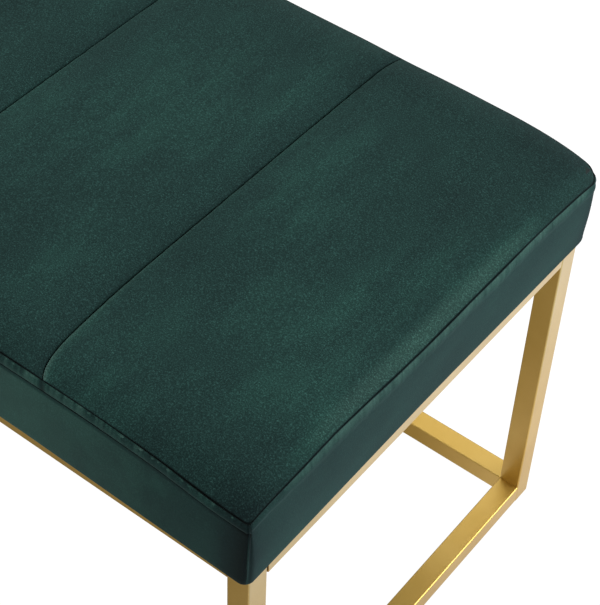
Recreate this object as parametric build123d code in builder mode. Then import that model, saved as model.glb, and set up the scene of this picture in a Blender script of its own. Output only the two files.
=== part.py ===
"""Upholstered bench: a sewn seat of padded panels on a frame of square metal tube.

The origin is on the floor under the middle of the bench. X runs along the seat, the front faces -Y.
"""

import os
from math import sqrt

from build123d import *

# Seat, over the fabric
seat_length = 1088.0
seat_depth = 484.0
seat_corner_radius = 16.0
side_height = 88.0  # seat underside up to the border seam
panel_count = 5
panel_width = 216.0  # between two seams; the end panels take what is left

# Padded panels of the seat top
crown_rise = 10.0  # middle of a panel above the border seam
seam_drop = 4.0  # sewn valley between two panels, below their crowns
edge_thickness = 2.0
roll_width = 40.0  # strip along the border where the crown rolls down
shoulder_width = 32.0  # strip along a seam where a panel rounds over

# Boxing, the sewn strip round the sides
cover_thickness = 1.5
side_draw = 1.5  # how far the side is drawn in
stitch_drop = 9.0  # topstitched line below the border seam
wrap_radius = 5.0  # fabric turning under the seat
turn_under_lap = 9.0  # turned-under fabric past the inner side of the rails

# Seat base
board_thickness = 15.0
board_inset = 8.0  # board from the seat outline, padded over by the foam
dust_cover_thickness = 0.8
dust_cover_lap = 5.0

# Frame of square tube
tube_size = 22.0
tube_wall = 1.2
tube_corner_radius = 1.5
leg_height = 368.0
end_overhang = 11.0  # seat past the frame at each end
side_overhang = 11.0  # seat past the frame at front and rear
top_rail_reveal = 1.5  # open slot between a top end rail and a leg

# Welds under the long top rails
weld_leg = 4.0
weld_setback = 3.0  # from the sides of the tube

# Spigots welded to the legs, and the set screws that lock the end rails on them
spigot_length = 30.0
spigot_clearance = 0.2
screw_setback = 14.0  # from the end of the rail
screw_diameter = 5.0
screw_length = 12.0
screw_socket = 2.5  # across the flats
screw_socket_depth = 2.5

# Seat fixing: tabs on the long rails, bolts, washers and flanged nuts
tabs_per_rail = 2
tab_width = 44.0
tab_reach = 30.0
tab_thickness = 3.0
tab_corner_cut = 8.0
tab_end_distance = 180.0  # middle of the outer tabs from the ends of the frame
bolt_reach = 16.0  # bolt from the inner side of the rail
bolt_diameter = 6.0
bolt_length = 20.0
bolt_head_width = 10.0  # across the flats
bolt_head_height = 4.0
washer_width = 18.0
washer_thickness = 1.6
nut_flange_width = 17.0  # across the flats
nut_flange_thickness = 1.5
nut_barrel_diameter = 8.0
nut_barrel_length = 11.0

# Feet
glide_height = 2.5
glide_width = 16.0
glide_edge_cut = 1.0
glide_stem_diameter = 6.0
glide_stem_length = 9.0
leg_cap_thickness = 2.0

# Clearances
hole_clearance = 0.3  # round a screw or bolt that passes through
thread_clearance = 0.05

# Frame places
frame_length = seat_length - 2 * end_overhang
frame_depth = seat_depth - 2 * side_overhang
tube_bore = tube_size - 2 * tube_wall
leg_x = (frame_length - tube_size) / 2
leg_y = (frame_depth - tube_size) / 2
frame_bottom = glide_height
frame_top = frame_bottom + leg_height
bottom_rail_z = frame_bottom + tube_size / 2
top_rail_z = frame_top - tube_size / 2
long_rail_length = frame_length - 2 * tube_size
end_space = frame_depth - 2 * tube_size
spigot_size = tube_bore - 2 * spigot_clearance

# Seat fixing places
rail_inner_y = leg_y - tube_size / 2
tab_top = frame_top - dust_cover_thickness
tab_bottom = tab_top - tab_thickness
tab_pitch = (frame_length - 2 * tab_end_distance) / (tabs_per_rail - 1)
tab_xs = [tab_end_distance - frame_length / 2 + i * tab_pitch for i in range(tabs_per_rail)]
bolt_y = rail_inner_y - bolt_reach
bolt_points = [(x, side * bolt_y) for side in (-1, 1) for x in tab_xs]

# Seat places
seat_bottom = frame_top
board_bottom = seat_bottom + cover_thickness
board_top = board_bottom + board_thickness
panel_bottom = seat_bottom + side_height
wall_depth = cover_thickness + side_draw
turn_under_width = side_overhang + tube_size + turn_under_lap
seam_inset = side_draw

corners = {
    "front_left": (-1, -1),
    "front_right": (1, -1),
    "rear_left": (-1, 1),
    "rear_right": (1, 1),
}

os.makedirs("parts", exist_ok=True)


def save(piece, name):
    """Label a finished piece and write it under the same name."""
    piece.part.label = name
    export_step(piece.part, f"parts/{name}.step")


def tube_profile():
    """Draw the section of the frame's square tube in the open sketch."""
    RectangleRounded(tube_size, tube_size, tube_corner_radius)
    Rectangle(tube_bore, tube_bore, mode=Mode.SUBTRACT)


def hex_bolt(diameter, length, head_width, head_height):
    """Model a hex-head bolt along +Z, with the underside of its head at the origin."""
    with BuildPart() as bolt:
        with BuildSketch(Plane.XY.offset(-head_height)):
            RegularPolygon(head_width / 2, 6, major_radius=False)
        extrude(amount=head_height)
        with BuildSketch():
            Circle(diameter / 2)
        extrude(amount=length)
    return bolt.part


def set_screw(diameter, length, socket, socket_depth):
    """Model a headless socket screw along +Z, with its socket end at the origin."""
    with BuildPart() as screw:
        with BuildSketch():
            Circle(diameter / 2)
        extrude(amount=length)
        with BuildSketch():
            RegularPolygon(socket / 2, 6, major_radius=False)
        extrude(amount=socket_depth, mode=Mode.SUBTRACT)
    return screw.part


# Legs, full height, with a plate closing each foot and a push-in glide under it
for corner, (side_x, side_y) in corners.items():
    foot = Plane((side_x * leg_x, side_y * leg_y, frame_bottom))

    with BuildPart() as leg:
        with BuildSketch(foot):
            tube_profile()
        extrude(amount=leg_height)
    save(leg, f"leg_{corner}")

    with BuildPart() as leg_cap:
        with BuildSketch(foot):
            Rectangle(tube_bore, tube_bore)
            Circle(glide_stem_diameter / 2, mode=Mode.SUBTRACT)
        extrude(amount=leg_cap_thickness)
    save(leg_cap, f"leg_cap_{corner}")

    with BuildPart() as glide:
        with BuildSketch(foot.offset(-glide_height)):
            Rectangle(glide_width, glide_width)
        extrude(amount=glide_height)
        chamfer(glide.faces().sort_by(Axis.Z)[0].edges(), glide_edge_cut)
        with BuildSketch(foot):
            Circle(glide_stem_diameter / 2)
        extrude(amount=glide_stem_length)
    save(glide, f"glide_{corner}")

# Long rails, welded between the legs: two under the seat, and one at the floor along the rear
for name, side_y, rail_z in (
    ("top_rail_front", -1, top_rail_z),
    ("top_rail_rear", 1, top_rail_z),
    ("bottom_rail_rear", 1, bottom_rail_z),
):
    start = (-long_rail_length / 2, side_y * leg_y, rail_z)
    with BuildPart() as long_rail:
        with BuildSketch(Plane(start, x_dir=(0, 1, 0), z_dir=(1, 0, 0))):
            tube_profile()
        extrude(amount=long_rail_length)
    save(long_rail, name)

# Weld beads in the corners between the legs and the long top rails
weld_width = tube_size - 2 * weld_setback
with BuildPart() as weld_beads:
    for side_x, side_y in corners.values():
        corner_x = side_x * long_rail_length / 2
        start = (corner_x, side_y * leg_y + weld_width / 2, frame_top - tube_size)
        with BuildSketch(Plane(start, x_dir=(-side_x, 0, 0), z_dir=(0, -1, 0))):
            drop = side_x * weld_leg
            Polygon((0, 0), (weld_leg, 0), (0, drop), align=None)
        extrude(amount=weld_width)
save(weld_beads, "weld_beads")

# End rails, slid over spigots on the legs and locked by set screws from the inner side
screw_planes = []
for side, side_x in (("left", -1), ("right", 1)):
    spigot_planes = []
    for level, rail_z, reveal in (("top", top_rail_z, top_rail_reveal), ("bottom", bottom_rail_z, 0)):
        end_rail_length = end_space - 2 * reveal
        rail_inner_x = side_x * (leg_x - tube_size / 2)
        screw_ys = [sign * (end_rail_length / 2 - screw_setback) for sign in (-1, 1)]
        seats = [Plane((rail_inner_x, y, rail_z), z_dir=(-side_x, 0, 0)) for y in screw_ys]
        screw_planes += [Plane((rail_inner_x, y, rail_z), z_dir=(side_x, 0, 0)) for y in screw_ys]

        start = (side_x * leg_x, -end_rail_length / 2, rail_z)
        with BuildPart() as end_rail:
            with BuildSketch(Plane(start, x_dir=(1, 0, 0), z_dir=(0, 1, 0))):
                tube_profile()
            extrude(amount=end_rail_length)
            with Locations(*seats):
                Hole(screw_diameter / 2 + hole_clearance, depth=tube_wall + spigot_clearance / 2)
        save(end_rail, f"{level}_rail_{side}")

        spigot_planes += [
            (Plane((side_x * leg_x, sign * end_space / 2, rail_z), x_dir=(1, 0, 0), z_dir=(0, -sign, 0)), seat)
            for sign, seat in zip((-1, 1), seats)
        ]

    with BuildPart() as rail_spigots:
        for spigot_plane, seat in spigot_planes:
            with BuildSketch(spigot_plane):
                Rectangle(spigot_size, spigot_size)
            extrude(amount=spigot_length)
            with Locations(seat):
                Hole(screw_diameter / 2 + thread_clearance, depth=screw_length + tube_wall)
    save(rail_spigots, f"rail_spigots_{side}")

rail_screw = set_screw(screw_diameter, screw_length, screw_socket, screw_socket_depth)
with BuildPart() as rail_screws:
    with Locations(*screw_planes):
        add(rail_screw)
save(rail_screws, "rail_screws")

# Tabs welded to the inner side of the long top rails
for side, side_y in (("front", -1), ("rear", 1)):
    for number, tab_x in enumerate(tab_xs, start=1):
        tab_y = side_y * (rail_inner_y - tab_reach / 2)
        with BuildPart() as seat_tab:
            with BuildSketch(Plane((tab_x, tab_y, tab_bottom))) as tab_outline:
                Rectangle(tab_width, tab_reach)
                free_corners = tab_outline.vertices().group_by(Axis.Y)[0 if side_y > 0 else -1]
                chamfer(free_corners, tab_corner_cut)
                with Locations((0, side_y * (tab_reach / 2 - bolt_reach))):
                    Circle(bolt_diameter / 2 + hole_clearance, mode=Mode.SUBTRACT)
            extrude(amount=tab_thickness)
        save(seat_tab, f"seat_tab_{side}_{number}")

# Bolts and washers under the tabs, and the flanged nuts that they screw into
seat_bolt = hex_bolt(bolt_diameter, bolt_length, bolt_head_width, bolt_head_height)
with BuildPart() as seat_bolts:
    with Locations(*[(x, y, tab_bottom - washer_thickness) for x, y in bolt_points]):
        add(seat_bolt)
save(seat_bolts, "seat_bolts")

with BuildPart() as seat_washers:
    with BuildSketch(Plane.XY.offset(tab_bottom - washer_thickness)):
        with Locations(*bolt_points):
            Rectangle(washer_width, washer_width)
            Circle(bolt_diameter / 2 + hole_clearance, mode=Mode.SUBTRACT)
    extrude(amount=washer_thickness)
save(seat_washers, "seat_washers")

with BuildPart() as flanged_nuts:
    with BuildSketch(Plane.XY.offset(board_top - nut_flange_thickness)):
        with Locations(*bolt_points):
            RegularPolygon(nut_flange_width / 2, 6, major_radius=False)
            Circle(bolt_diameter / 2 + thread_clearance, mode=Mode.SUBTRACT)
    extrude(amount=nut_flange_thickness)
    with BuildSketch(Plane.XY.offset(board_top - nut_flange_thickness)):
        with Locations(*bolt_points):
            Circle(nut_barrel_diameter / 2)
            Circle(bolt_diameter / 2 + thread_clearance, mode=Mode.SUBTRACT)
    extrude(amount=-nut_barrel_length)
save(flanged_nuts, "flanged_nuts")

# Seat board, with a pocket and a hole for each flanged nut
board_length = seat_length - 2 * board_inset
board_depth = seat_depth - 2 * board_inset
with BuildPart() as seat_board:
    with BuildSketch(Plane.XY.offset(board_bottom)):
        RectangleRounded(board_length, board_depth, seat_corner_radius / 2)
    extrude(amount=board_thickness)
    with BuildSketch(Plane.XY.offset(board_top - nut_flange_thickness)):
        with Locations(*bolt_points):
            RegularPolygon(nut_flange_width / 2 + hole_clearance, 6, major_radius=False)
    extrude(amount=nut_flange_thickness, mode=Mode.SUBTRACT)
    with BuildSketch(Plane.XY.offset(board_bottom)):
        with Locations(*bolt_points):
            Circle(nut_barrel_diameter / 2 + thread_clearance)
    extrude(amount=board_thickness, mode=Mode.SUBTRACT)
save(seat_board, "seat_board")

# Foam block on the board
with BuildPart() as foam_pad:
    with BuildSketch(Plane.XY.offset(board_top)):
        RectangleRounded(
            seat_length - 2 * wall_depth,
            seat_depth - 2 * wall_depth,
            seat_corner_radius - wall_depth,
        )
    extrude(amount=panel_bottom - board_top)
save(foam_pad, "foam_pad")

# Dust cover, lapped under the turned-in fabric
with BuildPart() as dust_cover:
    with BuildSketch(Plane.XY.offset(seat_bottom - dust_cover_thickness)):
        Rectangle(
            seat_length - 2 * (turn_under_width - dust_cover_lap),
            seat_depth - 2 * (turn_under_width - dust_cover_lap),
        )
        with Locations(*bolt_points):
            Circle(bolt_diameter / 2 + hole_clearance, mode=Mode.SUBTRACT)
    extrude(amount=dust_cover_thickness)
save(dust_cover, "dust_cover")


def boxing_profile():
    """Draw the boxing's section: X outwards from the seat outline, Y up from the seat underside."""
    root = seat_corner_radius / 2
    wrap_mid = wrap_radius * (1 - sqrt(0.5))
    stitch_height = side_height - stitch_drop
    with BuildLine() as outline:
        Line((-root, 0), (-wrap_radius, 0))
        ThreePointArc((-wrap_radius, 0), (-wrap_mid, wrap_mid), (0, wrap_radius))
        ThreePointArc((0, wrap_radius), (-side_draw, stitch_height / 2), (-side_draw, stitch_height))
        ThreePointArc(
            (-side_draw, stitch_height), (0, side_height - stitch_drop / 2), (-seam_inset, side_height)
        )
        Polyline(
            (-seam_inset, side_height),
            (-wall_depth, side_height),
            (-wall_depth, cover_thickness),
            (-root, cover_thickness),
            (-root, 0),
        )
    make_face(outline.edges())


# Boxing strips, sewn to each other at the seat corners and turned in under the board
for side, along, run, reach in (
    ("front", (1, 0, 0), seat_length, seat_depth / 2),
    ("right", (0, 1, 0), seat_depth, seat_length / 2),
    ("rear", (-1, 0, 0), seat_length, seat_depth / 2),
    ("left", (0, -1, 0), seat_depth, seat_length / 2),
):
    base = Plane((0, 0, seat_bottom), x_dir=along, z_dir=(0, 0, 1))
    straight = run / 2 - seat_corner_radius
    corner_start = base.from_local_coords((straight, -reach, 0))
    corner_centre = base.from_local_coords((straight, seat_corner_radius - reach, 0))
    root = seat_corner_radius / 2
    with BuildPart() as boxing:
        with BuildSketch(Plane(corner_start, x_dir=-base.y_dir, z_dir=-base.x_dir)) as section:
            boxing_profile()
        extrude(amount=straight)
        revolve(section.sketch, axis=Axis(corner_centre, (0, 0, 1)), revolution_arc=45)
        with BuildSketch(base):
            with BuildLine():
                Polyline(
                    (0, root - reach),
                    (run / 2 - root, root - reach),
                    (run / 2 - turn_under_width, turn_under_width - reach),
                    (0, turn_under_width - reach),
                    close=True,
                )
            make_face()
        extrude(amount=cover_thickness)
        mirror(about=Plane(base.origin, z_dir=base.x_dir))
    save(boxing, f"boxing_{side}")


def crowned_profile(left, right, left_height, right_height, left_roll, right_roll):
    """Draw a section that trims the padding: level on top, rolling down to both sides."""
    flat_left = left + left_roll
    flat_right = right - right_roll
    with BuildLine() as outline:
        Line((left, -crown_rise), (right, -crown_rise))
        Line((right, -crown_rise), (right, right_height))
        TangentArc((flat_right, crown_rise), (right, right_height), tangent=(1, 0))
        Line((flat_left, crown_rise), (flat_right, crown_rise))
        TangentArc((flat_left, crown_rise), (left, left_height), tangent=(-1, 0))
        Line((left, left_height), (left, -crown_rise))
    make_face(outline.edges())


# Padded panels, sewn to each other across the seat and to the boxing along the border
seam_height = crown_rise - seam_drop
for number in range(1, panel_count + 1):
    is_first = number == 1
    is_last = number == panel_count
    left = -seat_length / 2 if is_first else (number - 1 - panel_count / 2) * panel_width
    right = seat_length / 2 if is_last else (number - panel_count / 2) * panel_width
    with BuildPart() as top_panel:
        with BuildSketch(Plane.XY.offset(panel_bottom)):
            RectangleRounded(
                seat_length - 2 * seam_inset,
                seat_depth - 2 * seam_inset,
                seat_corner_radius - seam_inset,
            )
        extrude(amount=2 * crown_rise)
        with BuildSketch(Plane((0, -seat_depth, panel_bottom), x_dir=(1, 0, 0), z_dir=(0, -1, 0))):
            crowned_profile(
                left,
                right,
                edge_thickness if is_first else seam_height,
                edge_thickness if is_last else seam_height,
                roll_width if is_first else shoulder_width,
                roll_width if is_last else shoulder_width,
            )
        extrude(amount=-2 * seat_depth, mode=Mode.INTERSECT)
        with BuildSketch(Plane((-seat_length, 0, panel_bottom), x_dir=(0, 1, 0), z_dir=(1, 0, 0))):
            crowned_profile(
                -seat_depth / 2, seat_depth / 2, edge_thickness, edge_thickness, roll_width, roll_width
            )
        extrude(amount=2 * seat_length, mode=Mode.INTERSECT)
    save(top_panel, f"top_panel_{number}")
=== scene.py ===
"""Looks of an upholstered bench: a sewn velvet seat on a satin gold frame of square tube."""

import math

import bpy
import numpy as np
from mathutils import Matrix, Vector, noise


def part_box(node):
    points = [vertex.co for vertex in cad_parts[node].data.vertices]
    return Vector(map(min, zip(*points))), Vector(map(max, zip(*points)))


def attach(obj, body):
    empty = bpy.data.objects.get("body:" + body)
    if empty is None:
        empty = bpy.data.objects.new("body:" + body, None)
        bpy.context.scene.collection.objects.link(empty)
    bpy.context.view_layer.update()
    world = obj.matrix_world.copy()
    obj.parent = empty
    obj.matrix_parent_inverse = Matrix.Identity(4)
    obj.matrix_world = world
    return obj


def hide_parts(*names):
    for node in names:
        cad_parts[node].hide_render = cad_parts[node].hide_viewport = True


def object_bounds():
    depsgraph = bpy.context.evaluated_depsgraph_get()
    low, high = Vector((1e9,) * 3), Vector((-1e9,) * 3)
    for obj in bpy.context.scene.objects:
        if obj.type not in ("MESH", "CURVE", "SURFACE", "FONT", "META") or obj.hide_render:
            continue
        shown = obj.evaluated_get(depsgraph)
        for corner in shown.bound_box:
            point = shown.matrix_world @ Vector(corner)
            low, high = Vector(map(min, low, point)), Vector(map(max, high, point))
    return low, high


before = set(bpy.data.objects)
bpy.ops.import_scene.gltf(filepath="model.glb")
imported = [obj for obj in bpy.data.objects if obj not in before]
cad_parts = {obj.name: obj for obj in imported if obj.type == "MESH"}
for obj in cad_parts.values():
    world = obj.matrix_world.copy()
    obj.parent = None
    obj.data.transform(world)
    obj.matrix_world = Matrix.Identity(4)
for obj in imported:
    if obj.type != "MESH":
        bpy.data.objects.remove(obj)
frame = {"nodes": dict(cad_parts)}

bl_info = {
    "name": "Upholstered bench",
    "version": (1, 0, 0),
    "blender": (4, 5, 0),
    "location": "3D View > Sidebar > Bench",
    "description": "Builds the looks of a velvet bench with a gold tube frame around its CAD frame",
    "category": "Object",
}

CAD_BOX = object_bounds()
MM = 0.001

# Places and nodes read from the frame
SEAT_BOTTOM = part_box("boxing_front")[0].z
SEAM_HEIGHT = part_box("boxing_front")[1].z
SIDE_HEIGHT = SEAM_HEIGHT - SEAT_BOTTOM
HALF_LENGTH = CAD_BOX[1].x
HALF_DEPTH = CAD_BOX[1].y
FRAME_CORNER = Vector((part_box("leg_front_right")[1].x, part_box("leg_front_right")[0].y, 0))
TURN_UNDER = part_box("boxing_front")[1].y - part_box("boxing_front")[0].y
TOP_PANELS = sorted(name for name in frame["nodes"] if name.startswith("top_panel_"))
FRAME_NODES = sorted(
    name
    for name in frame["nodes"]
    if name.startswith(("leg_", "top_rail_", "bottom_rail_", "seat_tab_", "weld_"))
)

# Sides of the seat in the order of their quarter turns from the front
BOXING_SIDES = ("front", "right", "rear", "left")
LONG_SIDES = ("front", "rear")
# how far the foot of a side lies inside the seat outline, at the corners and in the middle
LONG_SIDE_LEAN = (-0.8 * MM, 2 * MM)
END_LEAN = (4.2 * MM, 5.8 * MM)
SIDE_LEAN = {side: LONG_SIDE_LEAN if side in LONG_SIDES else END_LEAN for side in BOXING_SIDES}
# places along an end of the seat from front to rear, and how far the border seam sags there
END_SAG = (
    (-0.24, -0.18, -0.14, -0.10, -0.06, -0.03, 0.0, 0.10, 0.15, 0.24),
    (0.5 * MM, 0.8 * MM, -1.2 * MM, 0.8 * MM, 4.0 * MM, 5.6 * MM, 5.2 * MM, 4.8 * MM, 5.4 * MM, 5.4 * MM),
)
# the sewn edges of a panel and of the boxing, and the topstitched line, inside the seat outline
PANEL_INSET = 3.7 * MM
SEAM_INSET = 3 * MM
STITCH_INSET = 2 * MM
# half the open crease between two panels
HALF_CREASE = 0.5 * MM
# what lies further inside the seat outline than this is folded in and doesn't show
FOLDED_IN = 6 * MM

# The sheet that is simulated for one panel: its squares across and along, frames and highest lift
SWELL_GRID = (30, 66)
SWELL_FRAMES = 20
SWELL_CAP = 2.5 * MM

# Sizes of the velvet's pattern
VELVET_BLOTCH = 90 * MM
VELVET_STROKE = 22 * MM
# the tips of real pile are a few tenths of a millimetre apart, too fine to show, and so are drawn coarser
VELVET_GRAIN = 1.25 * MM

# Sockets of a Mix node that mixes two colours
MIX_SHARE, MIX_FIRST, MIX_SECOND, MIX_RESULT = 0, 6, 7, 2


class SeatSettings(bpy.types.PropertyGroup):
    """Sizes and colours of the sewn seat"""

    crown: bpy.props.FloatProperty(
        name="Crown", description="Top of a panel above the border seam, before its filling swells it",
        default=8.5 * MM, unit="LENGTH", subtype="DISTANCE",
    )
    roll: bpy.props.FloatProperty(
        name="Edge roll", description="Width of the strip that rolls down to the border seam",
        default=34 * MM, unit="LENGTH", subtype="DISTANCE",
    )
    valley: bpy.props.FloatProperty(
        name="Seam valley", description="Depth of the sewn valley between two panels, before they swell",
        default=5.5 * MM, unit="LENGTH", subtype="DISTANCE",
    )
    shoulder: bpy.props.FloatProperty(
        name="Seam shoulder", description="Width over which a panel rounds down to a seam",
        default=22 * MM, unit="LENGTH", subtype="DISTANCE",
    )
    front_radius: bpy.props.FloatProperty(
        name="Front corner radius", description="Front corners of the seat in plan, tight at the seam",
        default=5 * MM, unit="LENGTH", subtype="DISTANCE",
    )
    rear_radius: bpy.props.FloatProperty(
        name="Rear corner radius", description="Rear corners of the seat in plan",
        default=21 * MM, unit="LENGTH", subtype="DISTANCE",
    )
    front_foot_radius: bpy.props.FloatProperty(
        name="Front foot radius", description="Front corners in plan where the boxing turns under",
        default=9 * MM, unit="LENGTH", subtype="DISTANCE",
    )
    rear_foot_radius: bpy.props.FloatProperty(
        name="Rear foot radius", description="Rear corners in plan where the boxing turns under",
        default=22 * MM, unit="LENGTH", subtype="DISTANCE",
    )
    band_bulge: bpy.props.FloatProperty(
        name="Band bulge", description="How far the band under the border seam stands out",
        default=1.3 * MM, unit="LENGTH", subtype="DISTANCE",
    )
    front_dip: bpy.props.FloatProperty(
        name="Front corner dip", description="How far the front corners are pulled down",
        default=13 * MM, unit="LENGTH", subtype="DISTANCE",
    )
    rear_dip: bpy.props.FloatProperty(
        name="Rear corner dip", description="How far the rear corners are pulled down",
        default=16 * MM, unit="LENGTH", subtype="DISTANCE",
    )
    seam_drift: bpy.props.FloatProperty(
        name="Seam drift", description="How far a cross seam is drawn along the front border where it ends",
        default=11 * MM, unit="LENGTH", subtype="DISTANCE",
    )
    stitch_drop: bpy.props.FloatProperty(
        name="Topstitch drop", description="Topstitched line below the border seam, along the front",
        default=11.5 * MM, unit="LENGTH", subtype="DISTANCE",
    )
    end_drop: bpy.props.FloatProperty(
        name="End band drop", description="Foot of the band below the border seam, at the ends and rear",
        default=17 * MM, unit="LENGTH", subtype="DISTANCE",
    )
    stitch_length: bpy.props.FloatProperty(
        name="Stitch length", description="Length of one stitch of thread",
        default=4 * MM, unit="LENGTH", subtype="DISTANCE",
    )
    velvet: bpy.props.StringProperty(
        name="Velvet", description="Colour of the brushed pile, as sRGB hex", default="193330",
    )
    # velvet_shade is also the colour of the painted shade in seams, creases and corners
    velvet_shade: bpy.props.StringProperty(
        name="Velvet against the pile", description="Colour where the pile lies away, as sRGB hex",
        default="102222",
    )
    # velvet_light is also the colour of the painted highlights on seam lips and the lit end bands
    velvet_light: bpy.props.StringProperty(
        name="Velvet with the pile", description="Colour where the pile leans to the eye, as sRGB hex",
        default="285047",
    )
    # the tip colour also makes the painted highlights whitish
    velvet_tip_and_highlight: bpy.props.StringProperty(
        name="Velvet tips", description="Colour of the tips where the pile is brushed up, as sRGB hex",
        default="435c56",
    )


class FrameSettings(bpy.types.PropertyGroup):
    """Colours of the frame and of what is hidden under the seat"""

    gold: bpy.props.StringProperty(
        name="Gold", description="Colour of the satin gold finish, as sRGB hex", default="dcb75c",
    )
    gold_shade: bpy.props.StringProperty(
        name="Gold in the clouds", description="Colour of the finish where it is deeper, as sRGB hex",
        default="d2ab4c",
    )
    zinc: bpy.props.StringProperty(
        name="Zinc", description="Colour of the plated screws, as sRGB hex", default="b4b6b4",
    )
    nylon: bpy.props.StringProperty(
        name="Nylon", description="Colour of the glides, as sRGB hex", default="dcdad2",
    )
    dust_cloth: bpy.props.StringProperty(
        name="Dust cover", description="Colour of the spun cloth underneath, as sRGB hex", default="1d1d1e",
    )


class StageSettings(bpy.types.PropertyGroup):
    """Camera of the photograph, found from the straight edges of the frame"""

    azimuth: bpy.props.FloatProperty(
        name="Azimuth", description="Turn of the camera round the bench",
        default=math.radians(35.98), subtype="ANGLE",
    )
    elevation: bpy.props.FloatProperty(
        name="Elevation", description="Camera above the horizon",
        default=math.radians(47.08), subtype="ANGLE",
    )
    roll: bpy.props.FloatProperty(
        name="Roll", description="Turn of the camera about its own axis",
        default=math.radians(2.59), subtype="ANGLE",
    )
    lens: bpy.props.FloatProperty(
        name="Lens", description="Focal length in millimetres for a 36 mm sensor", default=105.73,
    )
    from_corner: bpy.props.FloatVectorProperty(
        name="Place", description="Camera from the foot of the frame's front right corner",
        default=(0.4613, -0.5873, 1.473), subtype="TRANSLATION",
    )


def linear(hex_colour):
    """Linear colour with alpha 1 from an sRGB hex value."""
    shares = [int(hex_colour[i:i + 2], 16) / 255 for i in (0, 2, 4)]
    return [s / 12.92 if s <= 0.04045 else ((s + 0.055) / 1.055) ** 2.4 for s in shares] + [1.0]


def add_node(tree, kind, sockets=None, **settings):
    """Add a node with its settings; a value that is a node or a socket is linked, any other is set."""
    node = tree.nodes.new(kind)
    for name, value in settings.items():
        setattr(node, name, value)
    for key, value in (sockets or {}).items():
        if isinstance(value, bpy.types.Node):
            value = value.outputs[0]
        if isinstance(value, bpy.types.NodeSocket):
            tree.links.new(value, node.inputs[key])
        else:
            node.inputs[key].default_value = value
    return node


def new_material(name):
    """A bare material and its node tree."""
    material = bpy.data.materials.new(name)
    material.use_nodes = True
    material.node_tree.nodes.clear()
    return material, material.node_tree


def per_metre(size):
    """Noise scale for a pattern of that size in metres on Object coordinates."""
    return 1 / size


def brushed_tones(tree, place, pile):
    """Colour of the velvet by the way its pile lies, in broad blotches and finer strokes, with the painted
    shade and highlights of the pile attribute.
    """
    seat = bpy.context.scene.bench_seat
    blotch_place = add_node(tree, "ShaderNodeMapping", {"Vector": place, "Scale": (1.0, 0.55, 1.0)})
    blotch = add_node(
        tree, "ShaderNodeTexNoise",
        {"Vector": blotch_place, "Scale": per_metre(VELVET_BLOTCH), "Detail": 3.0, "Roughness": 0.5},
    )
    stroke_place = add_node(
        tree, "ShaderNodeMapping",
        {"Vector": place, "Rotation": (0, 0, math.radians(25)), "Scale": (1.0, 0.3, 0.8)},
    )
    stroke = add_node(
        tree, "ShaderNodeTexNoise",
        {"Vector": stroke_place, "Scale": per_metre(VELVET_STROKE), "Detail": 4.0, "Roughness": 0.65},
    )
    brushed = add_node(tree, "ShaderNodeMix", {"Factor": 0.4, "A": blotch, "B": stroke}, data_type="FLOAT")
    soft = add_node(tree, "ShaderNodeMapRange", {"Value": brushed, "To Min": 0.26, "To Max": 0.74})
    # the pile attribute adds painted shade and painted highlights to the random tone
    tone_and_painted_light = add_node(tree, "ShaderNodeMath", {0: pile, 1: 0.16, 2: soft}, operation="MULTIPLY_ADD")
    tones = add_node(tree, "ShaderNodeValToRGB", {"Fac": tone_and_painted_light})
    ramp = tones.color_ramp.elements
    ramp[0].position = 0.3
    ramp[0].color = linear(seat.velvet_shade)
    ramp[1].position = 0.72
    ramp[1].color = linear(seat.velvet_light)
    ramp.new(0.5).color = linear(seat.velvet)
    return tones


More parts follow.
